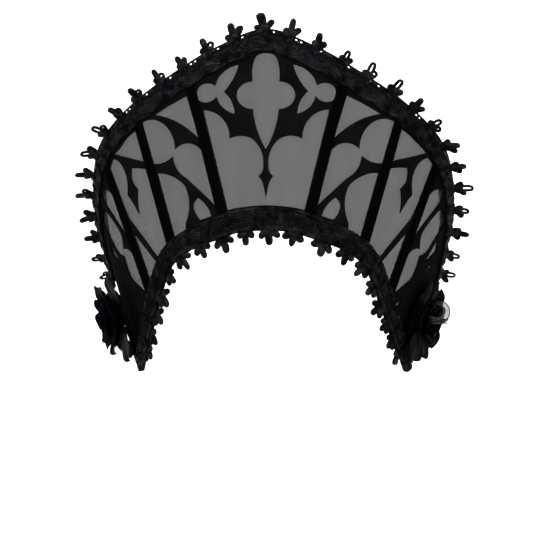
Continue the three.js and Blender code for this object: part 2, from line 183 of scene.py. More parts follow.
def edge_lean(edge, parameter):
    """How much an edge leans along the fan's straight lines, and how much longer a width is
    along those lines than square to the edge."""
    nearby = 0.001
    ends = [point_on(edge, np.clip(parameter + side * nearby, 0, 1)) for side in (-1, 1)]
    lean = dot(unit(ends[1] - ends[0]), unit(point_on(OUTER, parameter) - point_on(INNER, parameter)))
    return lean, 1 / np.sqrt(1 - lean**2)


def beside_rim(flat):
    """Places along the far edge, in from it and outwards, as places on the fan."""
    along, inwards, level = flat.T
    lean, slant = edge_lean(OUTER, np.interp(along, OUTER_LENGTHS, PARAMETERS))
    across = across_at(np.interp(along + inwards * slant * lean, OUTER_LENGTHS, PARAMETERS))
    return np.column_stack([across, height_at(across) - inwards * slant, level])


def beside_inner_edge(flat):
    """Places along the inner edge, in from it and outwards, as places on the fan."""
    along, inwards, level = flat.T
    lean, slant = edge_lean(INNER, np.interp(along, INNER_LENGTHS, PARAMETERS))
    across = across_at(np.interp(along - inwards * slant * lean, INNER_LENGTHS, PARAMETERS))
    return np.column_stack([across, inwards * slant, level])


def beside_end(side):
    """Places up an end of the fan, in from it and outwards, as places on the fan."""
    return lambda flat: np.column_stack([side * (HALF_WIDTH - flat[:, 1]), flat[:, 0], flat[:, 2]])


def folded(flat, fold):
    """Turns a lace's flat width round its fold. The fold's line is at width 0, the front
    layer at positive widths and the back layer at negative ones."""
    along, width, rise = flat.T
    radius = (fold["front"] - fold["back"]) / 2
    quarter = radius * math.pi / 2
    turn = np.clip(width, -quarter, quarter) / radius
    past = np.abs(width) - quarter
    inwards = fold["top"] + radius - (radius + rise) * np.cos(turn) + np.maximum(past, 0)
    level = (fold["front"] + fold["back"]) / 2 + (radius + rise) * np.sin(turn)
    return np.column_stack([along, inwards, level])


def fold_reach(fold, inwards):
    """The flat width at which a folded lace reaches that far in from the edge."""
    radius = (fold["front"] - fold["back"]) / 2
    return radius * math.pi / 2 + inwards - fold["top"] - radius


def eased(flat, ease):
    """Flat places of a lace, eased along its edge."""
    along, shift = np.array(ease, float).T * MM
    return flat + np.column_stack([np.interp(flat[:, 0], along, shift), np.zeros((len(flat), 2))])


def rim_edge_place(flat):
    return fan(beside_rim(eased(flat, RIM_EASE)))


def inner_edge_place(flat):
    return fan(beside_inner_edge(eased(flat, INNER_EASE)))


def rim_lace_place(flat):
    return rim_edge_place(folded(flat, RIM_FOLD))


def inner_lace_place(flat):
    return inner_edge_place(folded(flat, INNER_FOLD))


def end_lace_place(side):
    return lambda flat: fan(beside_end(side)(folded(flat, END_FOLD)))


# Finishes


def linear(code):
    """An sRGB hex colour as linear red, green, blue and alpha."""
    shares = [int(code[i:i + 2], 16) / 255 for i in (0, 2, 4)]
    return tuple(s / 12.92 if s <= 0.04045 else ((s + 0.055) / 1.055) ** 2.4 for s in shares) + (1,)


def add(tree, kind, output=None, inputs=None, settings=None, stops=()):
    """Adds a node and gives one of its outputs. An input is a value or a socket to link, and
    stops are the positions and sRGB hex colours of a ramp."""
    made = tree.nodes.new("ShaderNode" + kind)
    for name, value in (settings or {}).items():
        setattr(made, name, value)
    for name, value in (inputs or {}).items():
        if isinstance(value, bpy.types.NodeSocket):
            tree.links.new(value, made.inputs[name])
        else:
            made.inputs[name].default_value = value
    for k, (position, code) in enumerate(stops):
        made.color_ramp.elements[k].position = position
        made.color_ramp.elements[k].color = linear(code)
    return None if output is None else made.outputs[output]


def finish(surface):
    """A material that has its surface function's name. The function adds nodes with what it
    is given, and returns the shader's inputs."""
    material = bpy.data.materials.new(surface.__name__)
    material.use_nodes = True
    tree = material.node_tree
    tree.nodes.clear()
    shader = add(tree, "BsdfPrincipled", "BSDF", surface(partial(add, tree)))
    add(tree, "OutputMaterial", inputs={"Surface": shader})
    return material


def per_mm(pitch):
    """Repeats in a metre of a pattern that repeats every `pitch` millimetres."""
    return 1 / (pitch * MM)


def bands(pitch):
    """The scale of a wave texture whose bands come every `pitch` millimetres."""
    at_scale_one = 2 * math.pi / 20
    return at_scale_one * per_mm(pitch)


CUT = {"uv_map": "cut"}


# Stiffened nylon net, matte and sheer. Its real mesh of about 0.4 mm is too fine to show,
# so it is drawn at 1.2 mm, and faint streaks run up it where it is a little less sheer.
def stiffened_nylon_net(add):
    cut = add("UVMap", "UV", settings=CUT)
    strands = [add("TexWave", "Fac", {"Vector": cut, "Scale": bands(1.2)}, {"bands_direction": way})
               for way in ("X", "Y")]
    mesh = add("Math", 0, {0: strands[0], 1: strands[1]}, {"operation": "MAXIMUM"})
    stretched = add("Mapping", "Vector", {"Vector": cut, "Scale": (per_mm(9), per_mm(120), 1)})
    streaks = add("TexNoise", "Fac", {"Vector": stretched, "Scale": 1.0})
    weight = add("MapRange", "Result", {"Value": mesh, "To Min": 0.735, "To Max": 0.75})
    return {
        "Base Color": linear("2c2c2e"), "Roughness": 0.8, "Specular IOR Level": 0.1,
        "Alpha": add("Math", 0, {0: streaks, 1: 0.06, 2: weight}, {"operation": "MULTIPLY_ADD"}),
        "Normal": add("Bump", "Normal", {"Height": mesh, "Strength": 0.15, "Distance": 0.1 * MM}),
    }


# Thin pressed felt, dark grey: matted fibres give it a mottled, matte face with a faint bloom
def pressed_felt(add):
    place = add("TexCoord", "Object")
    fibres = add("TexNoise", "Fac", {
        "Vector": place, "Scale": per_mm(0.8), "Detail": 4.0, "Roughness": 0.65, "Distortion": 0.6,
    })
    mottle = add("TexNoise", "Fac", {"Vector": place, "Scale": per_mm(14), "Detail": 3.0})
    mixed = add("Math", 0, {0: fibres, 1: 0.6, 2: mottle}, {"operation": "MULTIPLY_ADD"})
    return {
        "Base Color": add("ValToRGB", "Color", {"Fac": mixed}, stops=[(0.5, "040404"), (1.0, "0c0c0d")]),
        "Roughness": 0.9, "Specular IOR Level": 0.02,
        "Normal": add("Bump", "Normal", {"Height": fibres, "Strength": 0.5, "Distance": 0.25 * MM}),
        "Sheen Weight": 0.006, "Sheen Roughness": 0.5, "Sheen Tint": linear("8c8c90"),
    }


# Cotton velvet ribbon, the blackest of the cloths: a short upright pile that gives back
# light only along its edges
def cotton_velvet(add):
    pile = add("TexNoise", "Fac", {
        "Vector": add("TexCoord", "Object"), "Scale": per_mm(0.5), "Detail": 3.0,
    })
    return {
        "Base Color": add("ValToRGB", "Color", {"Fac": pile}, stops=[(0.3, "010101"), (0.7, "040405")]),
        "Roughness": 1.0, "Specular IOR Level": 0.01,
        "Normal": add("Bump", "Normal", {"Height": pile, "Strength": 0.5, "Distance": 0.2 * MM}),
        "Sheen Weight": 0.004, "Sheen Roughness": 0.35, "Sheen Tint": linear("5c5c64"),
    }


# Guipure thread, corded viscose dyed blue-black: two plies twist round each other, and
# catch small soft lights
def guipure_viscose_thread(add):
    slanted = add("Mapping", "Vector", {
        "Vector": add("UVMap", "UV", settings=CUT), "Rotation": (0, 0, math.radians(35)),
    })
    plies = add("TexWave", "Fac", {"Vector": slanted, "Scale": bands(1.4)})
    # Random patches, lighter and glossier: the lighter thread is partly its own uneven tone and partly
    # painted highlight for the glints on its knots
    patches = add("TexNoise", "Fac", {
        "Vector": add("TexCoord", "Object"), "Scale": per_mm(6), "Detail": 3.0,
    })
    return {
        "Base Color": add("ValToRGB", "Color", {"Fac": patches}, stops=[(0.35, "020304"), (0.7, "0a0c10")]),
        "Roughness": 0.34,
        "Specular IOR Level": add("MapRange", "Result", {
            "Value": patches, "From Min": 0.4, "From Max": 0.65, "To Min": 0.02, "To Max": 0.16,
        }),
        "Normal": add("Bump", "Normal", {"Height": plies, "Strength": 0.2, "Distance": 0.15 * MM}),
    }


# Ground of the guipure: close stitching between the cords, duller than they are
def guipure_stitched_ground(add):
    cut = add("UVMap", "UV", settings=CUT)
    stitches = add("TexVoronoi", "Distance", {"Vector": cut, "Scale": per_mm(1.1)})
    return {
        "Base Color": add("ValToRGB", "Color", {"Fac": stitches}, stops=[(0.1, "020303"), (0.6, "07080a")]),
        "Roughness": 0.45, "Specular IOR Level": 0.04,
        "Normal": add("Bump", "Normal", {"Height": stitches, "Strength": 0.8, "Distance": 0.4 * MM}),
    }


# Duchess satin, blue-black polyester: a smooth warp face with fine ribs across it, which
# spreads a soft gloss along each fold
def duchess_satin(add):
    cut = add("UVMap", "UV", settings=CUT)
    warp = add("Mapping", "Vector", {"Vector": cut, "Scale": (per_mm(0.5), per_mm(5), 1)})
    threads = add("TexNoise", "Fac", {"Vector": warp, "Scale": 1.0, "Detail": 2.0})
    patches = add("TexNoise", "Fac", {
        "Vector": add("TexCoord", "Object"), "Scale": per_mm(9), "Detail": 2.0,
    })
    return {
        "Base Color": add("ValToRGB", "Color", {"Fac": patches}, stops=[(0.3, "020305"), (0.8, "06080d")]),
        "Roughness": add("MapRange", "Result", {"Value": patches, "To Min": 0.34, "To Max": 0.48}),
        "Specular IOR Level": 0.004,
        "Normal": add("Bump", "Normal", {"Height": threads, "Strength": 0.3, "Distance": 0.1 * MM}),
        "Sheen Weight": 0.004, "Sheen Roughness": 0.3, "Sheen Tint": linear("6f7a90"),
    }


# Polyester organza ribbon: crisp and see-through, with a little gloss. Its real weave is too
# fine to show, so it is drawn at 1.4 mm.
def polyester_organza(add):
    cut = add("UVMap", "UV", settings=CUT)
    weave = add("TexWave", "Fac", {"Vector": cut, "Scale": bands(1.4)}, {"bands_direction": "Y"})
    return {
        "Base Color": linear("1b1c20"), "Roughness": 0.4,
        "Alpha": add("MapRange", "Result", {"Value": weave, "To Min": 0.5, "To Max": 0.6}),
    }


# Plain white backdrop paper, matte and a little uneven. It isn't part of the headdress.
def matte_white_paper(add):
    grain = add("TexNoise", "Fac", {"Scale": 3.0})
    return {
        "Base Color": add("ValToRGB", "Color", {"Fac": grain}, stops=[(0.3, "f2f2f2"), (0.7, "f6f6f6")]),
        "Roughness": 0.9,
    }


FINISHES = {
    "net": finish(stiffened_nylon_net), "felt": finish(pressed_felt), "velvet": finish(cotton_velvet),
    "thread": finish(guipure_viscose_thread), "ground": finish(guipure_stitched_ground),
    "satin": finish(duchess_satin), "organza": finish(polyester_organza),
}

# Making pieces

SIDES = {-1: "left", 1: "right"}
# How near points are joined, and the steps of strands and rings in millimetres
WELD = 0.001 * MM
STRAND_STEP = 1.1
RING_STEP = 0.9


def lay(mesh, place):
    """Keeps the flat cut as the mesh's UV map and puts its points where `place` says."""
    flat = np.empty(len(mesh.vertices) * 3)
    mesh.vertices.foreach_get("co", flat)
    flat = flat.reshape(-1, 3)
    if "cut" not in mesh.uv_layers:
        corners = np.empty(len(mesh.loops), int)
        mesh.loops.foreach_get("vertex_index", corners)
        mesh.uv_layers.new(name="cut").data.foreach_set("uv", flat[corners, :2].ravel())
    mesh.vertices.foreach_set("co", place(flat).ravel())
    mesh.update()


def faced_outwards(mesh):
    """Turns closed shells the right way out again where their place mirrored them."""
    bm = bmesh.new()
    bm.from_mesh(mesh)
    if not any(edge.is_boundary for edge in bm.edges) and bm.calc_volume(signed=True) < 0:
        bmesh.ops.reverse_faces(bm, faces=bm.faces)
        bm.to_mesh(mesh)
    bm.free()


def piece(bm, name, kind, stands_for, place, sharp=180):
    """Makes a piece of a flat bmesh, laid where `place` says and riding on the frame."""
    mesh = bpy.data.meshes.new(name)
    bm.to_mesh(mesh)
    bm.free()
    lay(mesh, place)
    faced_outwards(mesh)
    made = bpy.data.objects.new(name, mesh)
    bpy.context.scene.collection.objects.link(made)
    mesh.materials.append(FINISHES[kind])
    for polygon in mesh.polygons:
        polygon.use_smooth = True
    mesh.set_sharp_from_angle(angle=math.radians(sharp))
    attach(made, "root")
    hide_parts(*stands_for)
    return made


def cut_sheet(width, length, step_across, step_up, centre=(0, 0)):
    """A flat sheet of cloth as a fine grid, width by length round its centre."""
    bm = bmesh.new()
    bmesh.ops.create_grid(bm, x_segments=max(1, round(width / step_across)),
                          y_segments=max(1, round(length / step_up)), size=0.5)
    bmesh.ops.scale(bm, vec=(width, length, 1), verts=bm.verts)
    bmesh.ops.translate(bm, vec=(centre[0], centre[1], 0), verts=bm.verts)
    return bm


def thicken(made, thickness, subdivisions=0):
    """Gives a sheet its thickness, to both sides of its surface, and rounds its folds."""
    wall = made.modifiers.new("thickness", "SOLIDIFY")
    wall.thickness = thickness
    wall.offset = 0
    if subdivisions:
        rounding = made.modifiers.new("rounding", "SUBSURF")
        rounding.levels = rounding.render_levels = subdivisions


def thread(bm, path, radius, sides=6, closed=False):
    """A thread along a path of points: a flat strip rolled up round it and closed."""
    path = np.array(path, float)
    count = len(path)
    if closed:
        way = unit(np.roll(path, -1, axis=0) - np.roll(path, 1, axis=0))
    else:
        way = unit(np.gradient(path, axis=0))
    side = unit(np.cross(way, (0, 0, 1)))
    top = np.cross(side, way)
    steps = count if closed else count - 1
    spans = np.linalg.norm(np.diff(path, axis=0, append=path[:1]), axis=1)
    length = np.concatenate([[0], np.cumsum(spans)])
    cut = bm.loops.layers.uv.get("cut") or bm.loops.layers.uv.new("cut")
    old = set(bm.faces)
    verts = bmesh.ops.create_grid(bm, x_segments=steps, y_segments=sides, size=0.5)["verts"]
    at = {vert: (round((vert.co.x + 0.5) * steps), round((vert.co.y + 0.5) * sides)) for vert in verts}
    for face in set(bm.faces) - old:
        for loop in face.loops:
            i, j = at[loop.vert]
            loop[cut].uv = (length[i], 2 * math.pi * radius * j / sides)
    for vert, (i, j) in at.items():
        angle = 2 * math.pi * j / sides
        i %= count
        vert.co = path[i] + radius * (math.cos(angle) * side[i] + math.sin(angle) * top[i])
    bmesh.ops.remove_doubles(bm, verts=verts, dist=radius * 0.01)
    if not closed:
        bmesh.ops.holes_fill(bm, edges=[edge for edge in bm.edges if edge.is_boundary], sides=sides)


def lone_thread(path, radius, closed=False):
    """A bmesh of its own that holds one thread."""
    bm = bmesh.new()
    thread(bm, path, radius, closed=closed)
    return bm


def joined(parts):
    """One bmesh of several, which are used up."""
    whole = bmesh.new()
    mesh = bpy.data.meshes.new("part")
    for part in parts:
        part.to_mesh(mesh)
        part.free()
        whole.from_mesh(mesh)
    bpy.data.meshes.remove(mesh)
    return whole


def strand(points, radius):
    """A thread on the smooth line through points, all in millimetres."""
    points = np.array(points, float)
    length = np.sum(np.linalg.norm(np.diff(points, axis=0), axis=1))
    path = point_on(points, np.linspace(0, 1, max(3, round(length / STRAND_STEP)) + 1))
    return lone_thread(path * MM, radius * MM)


def ring(centre, size, radius, rise, start=0, sweep=360):
    """A ring or an open arc of thread on an ellipse, in millimetres and degrees."""
    count = max(5, round(math.radians(sweep) * max(size) / RING_STEP))
    angles = np.radians(start + np.linspace(0, sweep, count + 1))
    path = np.column_stack([centre[0] + size[0] * np.cos(angles), centre[1] + size[1] * np.sin(angles),
                            np.full(count + 1, rise)]) * MM
    closed = sweep == 360
    return lone_thread(path[:-1] if closed else path, radius * MM, closed)


def scored(bm, places, way):
    """Cuts a mesh through at places along a direction, so that it can bend there."""
    for place in places:
        bmesh.ops.bisect_plane(bm, geom=bm.verts[:] + bm.edges[:] + bm.faces[:], dist=WELD,
                               plane_co=[place * share for share in way], plane_no=way)


def lace_ground(flat, name, node, place):
    """A lace's stitched ground, laid and given its thickness."""
    made = piece(flat, name, "ground", [node], place)
    thicken(made, LACE)
    return made


def lace_threads(parts, name, node, place):
    """A piece of a lace's threads, of the bmeshes that it is worked from."""
    whole = joined(parts)
    bmesh.ops.recalc_face_normals(whole, faces=whole.faces)
    return piece(whole, name, "thread", [node], place)


# Net and tracery. Both are cut from cloth as high as the fan's middle, and their flat areas
# are in square metres.
NET_HEIGHT = 138.5 * MM
NET_STEP = 3 * MM
NET_ROWS = 30
OUTLINE_STEP = 1.2
OUTLINE_POINTS = 160
CUT_COLUMN = 5 * MM
CUT_ROW = 20 * MM
FELT_EDGE = 0.3 * MM


def make_net():
    """The sheer panel: one stretched sheet between the laces' folds."""
    bm = cut_sheet(2 * (HALF_WIDTH - LAP), 1, NET_STEP, 1 / NET_ROWS, (0, 0.5))

    def place(flat):
        across = flat[:, 0]
        top = height_at(across) - LAP
        up = LAP + (top - LAP) * flat[:, 1]
        return fan(np.column_stack([across, up, flat[:, 2]]))

    made = piece(bm, "net_panel_sheer", "net", ["net_panel"], place)
    for loop in made.data.uv_layers["cut"].data:
        loop.uv.y *= NET_HEIGHT
    thicken(made, NET_THICKNESS)


# Gaps of the tracery's right half, each anticlockwise as seen from the front: each corner's
# place across and up, in millimetres, and how far the side that follows it bows outwards
SIDE_GAPS = {
    "trefoil": [
        (15, 116.5, 1.5), (25.3, 99, 1.6), (20.4, 82.6, 2.6), (29.8, 96.6, 12.2), (29.5, 103.6, 3),
    ],
    "shoulder_spandrel": [(49, 103, 0), (47.8, 71.5, -2.8), (76, 99.3, 0)],
    "shoulder_light": [
        (88, 99.8, 8.5), (67.8, 70.4, 7), (47.2, 57, 0), (48.6, 23.5, 0), (65, 48.7, 2.5),
        (70.8, 66.8, 2.4), (87.6, 69.5, 0),
    ],
    "shoulder_foot": [
        (86.6, 61.2, 2.1), (67.5, 43.7, 3.3), (74.5, 19, 0), (75.5, 15, 0), (86.6, 14.6, 0),
    ],
    "shoulder_arch": [(53.5, 17, 0), (62.5, 17, 0.6), (65.2, 24.5, 2), (60, 32.2, 1.6)],
    "side_spandrel": [(95.3, 99.5, 0), (95.8, 76.5, 0.5), (124.5, 109.3, 0), (110, 104, 0)],
    "side_light": [
        (94.8, 14.2, 0), (109.7, 14.4, 0), (132, 65.5, 0.6), (134.4, 85, 0), (135.4, 109.5, 1.2),
        (128, 108.7, 2.4), (118.3, 87, 1.6), (124.3, 77.5, 0.5), (117.8, 57.2, 1.3),
        (110.5, 68.4, 0), (113.8, 76.5, 1.1), (110.6, 84.5, 0), (95, 70.3, 0),
    ],
    "side_foot": [(113.7, 15.4, 0), (132.6, 16, 0), (132.9, 56.5, 0)],
    "end_lancet": [(164.3, 110.3, 6.3), (141.6, 85, 0), (140.4, 54.5, 0)],
    "end_light": [
        (167.3, 102.5, 1.3), (151.8, 71.5, 1.7), (157.3, 62.5, 2.9), (142, 42.5, 0), (142.3, 16, 0),
        (161.4, 42, 1.7), (161.2, 60.3, 2.2), (173.3, 78, 0), (181.5, 100.5, 0),
    ],
    "end_spandrel": [(172.8, 62.7, 0), (185.5, 79.2, 0), (179.5, 86.3, 0)],
    "end_chink": [(182.5, 64.7, 0), (188, 67, 0), (191, 73, 0)],
    "end_foot": [(149.5, 11.6, 0), (155.8, 12.6, 0), (157.5, 24.5, 0)],
}

# Right halves of the two gaps on the middle line, from the lowest corner round to the top.
# In the lower gap a dagger-shaped drop hangs down from the top.
MIDDLE_GAPS = {
    "quatrefoil": [(0, 56.8, 2), (8.1, 85, 9.9), (7.6, 104.2, 0.7), (6.3, 118.8, 1.6), (0, 124, 0)],
    "middle_light": [
        (0, 17.6, 0), (39, 16.8, 0), (39.8, 89.3, 5.2), (26.3, 65.6, 1.9), (10, 64.2, 1.9),
        (2, 48.2, 0), (2.2, 43.6, 0.8), (6.6, 38, 0.7), (2.2, 31, 0), (0, 22.5, 0),
    ],
}


def side_points(start, stop):
    """Points of a gap's side, up to its next corner, on the arc that its bow gives."""
    a, b = np.array(start[:2], float), np.array(stop[:2], float)
    chord = np.linalg.norm(b - a)
    bow = start[2]
    if bow == 0:
        shares = np.arange(0, 1, OUTLINE_STEP * 2 / chord)[:, None]
        return a + (b - a) * shares
    half_angle = 2 * math.atan2(2 * abs(bow), chord)
    radius = chord / (2 * math.sin(half_angle))
    forward = (b - a) / chord
    outward = np.array([forward[1], -forward[0]]) * math.copysign(1, bow)
    centre = (a + b) / 2 + outward * (abs(bow) - radius)
    count = max(2, round(2 * half_angle * radius / OUTLINE_STEP))
    angles = (half_angle * (2 * np.arange(count) / count - 1))[:, None]
    return centre + radius * (forward * np.sin(angles) + outward * np.cos(angles))


def mirrored(corners):
    bows = [corners[i - 1][2] for i in range(len(corners))]
    return [(-across, up, bow) for (across, up, _), bow in zip(corners, bows)][::-1]


def both_halves(half):
    left = [(-half[i][0], half[i][1], half[i - 1][2]) for i in range(1, len(half))]
    return half[:-1] + left[::-1]


def gap_outlines():
    gaps = [both_halves(half) for half in MIDDLE_GAPS.values()]
    for corners in SIDE_GAPS.values():
        gaps += [corners, mirrored(corners)]
    return [np.vstack([side_points(c, gap[(i + 1) % len(gap)]) for i, c in enumerate(gap)]) * MM
            for gap in gaps]


def cloth_outline():
    """The tracery's outer edge, which lies under the laces."""
    across = np.linspace(-(HALF_WIDTH - LAP), HALF_WIDTH - LAP, OUTLINE_POINTS)
    low = np.column_stack([across, np.full(len(across), LAP)])
    high = np.column_stack([across, height_at(across) - LAP])
    return np.vstack([low, high[::-1]])


def make_tracery():
    """The felt: a flat cut with soft edges, scored into strips and laid on the net."""
    curve = bpy.data.curves.new("tracery_cut", "CURVE")
    curve.dimensions = "2D"
    curve.fill_mode = "BOTH"
    curve.extrude = FELT / 2 - FELT_EDGE
    curve.bevel_depth = FELT_EDGE
    curve.bevel_resolution = 1
    curve.offset = -FELT_EDGE
    for outline in [cloth_outline(), *gap_outlines()]:
        spline = curve.splines.new("POLY")
        spline.points.add(len(outline) - 1)
        for point, (x, y) in zip(spline.points, outline):
            point.co = (x, y, 0, 1)
        spline.use_cyclic_u = True
    flat = bpy.data.objects.new("tracery_cut", curve)
    bpy.context.scene.collection.objects.link(flat)
    mesh = bpy.data.meshes.new_from_object(flat.evaluated_get(bpy.context.evaluated_depsgraph_get()))
    bpy.data.objects.remove(flat)
    bm = bmesh.new()
    bm.from_mesh(mesh)
    bpy.data.meshes.remove(mesh)
    bmesh.ops.remove_doubles(bm, verts=bm.verts, dist=WELD)
    scored(bm, np.arange(-HALF_WIDTH + CUT_COLUMN / 2, HALF_WIDTH, CUT_COLUMN), (1, 0, 0))
    scored(bm, np.arange(CUT_ROW, NET_HEIGHT, CUT_ROW), (0, 1, 0))
    bmesh.ops.translate(bm, vec=(0, 0, FELT_BACK + FELT / 2), verts=bm.verts)
    bmesh.ops.recalc_face_normals(bm, faces=bm.faces)
    made = piece(bm, "tracery_felt", "felt", ["tracery_applique"], fan, sharp=35)


# How far the ribs reach under the two laces, and the rounding of their edges
RIB_TUCK = {"low": 4 * MM, "high": 1 * MM}
RIB_ROUNDING = 0.9 * MM
RIB_ROW = 6 * MM


def make_rib(name, side):
    """A straight velvet-covered rib: a bar with rounded edges, laid up the fan."""
    across = side * across_at_station(RIB_STATIONS[name])
    top = float(height_at(np.array([across]))[0])
    low, high = INNER_WIDTH["middle"] - RIB_TUCK["low"], top - RIM_WIDTH + RIB_TUCK["high"]
    middle = RIB_BACK + RIB / 2
    bm = bmesh.new()
    bmesh.ops.create_cube(bm, size=1)
    bmesh.ops.scale(bm, vec=(RIB_WIDTH, high - low, RIB), verts=bm.verts)
    bmesh.ops.translate(bm, vec=(0, (high + low) / 2, middle), verts=bm.verts)
    edges = [edge for edge in bm.edges if all(vert.co.z > middle for vert in edge.verts)]
    bmesh.ops.bevel(bm, geom=edges, offset=RIB_ROUNDING, offset_type="OFFSET", affect="EDGES",
                    segments=4, profile=0.5, material=-1)
    scored(bm, np.arange(low + RIB_ROW, high, RIB_ROW), (0, 1, 0))

    def place(flat):
        sideways, up, level = flat.T
        here = np.full(len(up), across)
        before, after = (frame_at(here + step, up)[0] for step in (-MM, MM))
        *_, rise, outwards = frame_at(here, up)
        square = np.cross(rise, outwards)
        stretch = 2 * MM / dot(after - before, square)
        return fan(np.column_stack([across + sideways * stretch, up, level]))

    node = f"{name}_{SIDES[side]}"
    piece(bm, f"rib_velvet_{node}", "velvet", [f"rib_{node}"], place, sharp=40)


# Laces, in millimetres along each lace from its middle and across it from its fold. Each
# has a motif that comes back at even steps, and no two repeats lie quite alike.
GROUND_STEPS = (1.2 * MM, 1 * MM)
STRAY = {"along": 0.35, "across": 0.22}


def repeats(repeat, half_length):
    """Middles of a lace's repeats, with one past each end where there is room."""
    apart = repeat["apart"] / MM
    places = [k * apart for k in range(-repeat["aside"] - 1, repeat["aside"] + 2)]
    return [place for place in places if abs(place) < half_length / MM - 2]


def long_strand(dice, repeat, half_length, wave, crest, dip, radius, rise):
    """A strand that runs the lace's whole length in waves. Each wave is given by places
    along one repeat, each with its share of the way from the crest to the dip."""
    apart, end = repeat["apart"] / MM, half_length / MM - 1
    points = []
    for k in range(-repeat["aside"] - 2, repeat["aside"] + 3):
        for along, share in wave:
            x = k * apart + along + dice.uniform(-STRAY["along"], STRAY["along"])
            if abs(x) < end:
                stray = dice.uniform(-STRAY["across"], STRAY["across"])
                points.append((x, crest + (dip - crest) * share + stray, rise))
    return strand(points, radius)


# The rim's lace: a wave of nested strands that dips round an eye beside each picot and
# rises between them, given by each strand's distance from the fold at its crest and dip,
# and its radius
RIM_STRANDS = [(5.0, 9.0, 0.6), (6.1, 10.4, 0.85), (7.6, 11.8, 0.6), (9.4, 13.1, 0.8)]
RIM_WAVE = [(-7, 0), (-3.2, 0.2), (1.2, 0.75), (5.6, 1), (9.4, 0.55)]
# The strand along the lace's own edge: how far in from it its crest and dip lie
RIM_BORDER = {"wave": [(0, 0), (9.7, 1)], "crest": 0.1, "dip": 1.5, "radius": 0.75}
RIM_LEVELS = {"border": 0.6, "strands": 0.75, "motif": 0.85}
RIM_SWELL = {"puff": 0.7, "sway": 0.35, "ripple": 0.3, "scallop": 0.8}
RIM_EYE = {"middle": (5.8, 5.2), "size": (0.9, 0.75), "thread": 0.75}
RIM_COIL = {"size": (2.6, 2.2), "thread": 0.62, "above": 0.4, "sweep": 255}
RIM_STEMS = {"leans_and_lengths": [(-2.4, 3.6), (0.2, 4.6), (2.3, 3.4)], "thread": 0.85}
RIM_TENDRIL = {"line": [(-8.8, 11.4), (-6.6, 10.2), (-3.8, 11.4), (-1.8, 12.6)], "thread": 0.6}
RIM_KNOT = {"middle": (0.8, 8.4), "size": (1.6, 0.45), "thread": 1.05, "share": 0.4}
# The edging, beyond the fold: how far out its outer thread and its row of eyelets lie
EDGING = {"level": 0.85, "outer": 2.2, "outer_thread": 0.65, "row": 0.6, "row_thread": 1.5, "overlap": 0.3}
EYELET = {
    "pitch": 3.5, "size": (1.35, 1.1), "thread": 0.65, "out": 0.2, "from": 2.5, "to": 10, "open_share": 0.7,
}


def rim_motif(dice, x, back):
    """What lies between the strands in one repeat: an eye in its coil, and the stems and
    knot of the picot above."""
    rise = RIM_LEVELS["motif"]
    eye = RIM_EYE["middle"]
    ex, ey = x + eye[0] + dice.uniform(-0.8, 0.8), eye[1] + dice.uniform(-0.4, 0.4)
    parts = [ring((ex, ey), RIM_EYE["size"], RIM_EYE["thread"], rise + 0.2),
             ring((ex, ey + RIM_COIL["above"]), RIM_COIL["size"], RIM_COIL["thread"], rise,
                  dice.uniform(-60, -20), RIM_COIL["sweep"])]
    if back:
        return parts
    for lean, length in RIM_STEMS["leans_and_lengths"]:
        tip = (x + lean + dice.uniform(-0.4, 0.4), length, rise)
        parts.append(strand([(x + 0.2 * lean, 0.4, rise), (x + 0.6 * lean, 0.5 * length, rise + 0.4), tip],
                            RIM_STEMS["thread"]))
    line = [(x + along, out, rise) for along, out in RIM_TENDRIL["line"]]
    line[1] = (line[1][0] + dice.uniform(-0.6, 0.6), *line[1][1:])
    parts.append(strand(line, RIM_TENDRIL["thread"]))
    if x == 0 or dice.random() < RIM_KNOT["share"]:
        along, out = RIM_KNOT["middle"]
        parts.append(ring((x + along, out), RIM_KNOT["size"], RIM_KNOT["thread"], rise + 0.4))
    return parts


def rim_edge(dice):
    """The edging beyond the fold: an outer thread, and a stitched row that opens into small
    eyelets beside each picot."""
    along = np.arange(-HALF_RIM, HALF_RIM, GROUND_STEPS[0])
    level, row = EDGING["level"], -EDGING["row"]
    outer = np.column_stack([along, np.full(len(along), -EDGING["outer"] * MM),
                             np.full(len(along), level * MM)])
    parts = [lone_thread(outer, EDGING["outer_thread"] * MM)]
    half = EYELET["pitch"] / 2 + EDGING["overlap"]
    count = int(HALF_RIM / MM / EYELET["pitch"])
    for k in range(-count, count + 1):
        x = k * EYELET["pitch"]
        beside = x % (RIM_REPEAT["apart"] / MM)
        if EYELET["from"] < beside < EYELET["to"] and dice.random() < EYELET["open_share"]:
            parts.append(ring((x, row - EYELET["out"]), EYELET["size"], EYELET["thread"], level))
        else:
            stitches = [(x + step, row, level) for step in (-half, 0, half)]
            parts.append(strand(stitches, EDGING["row_thread"]))
    return parts


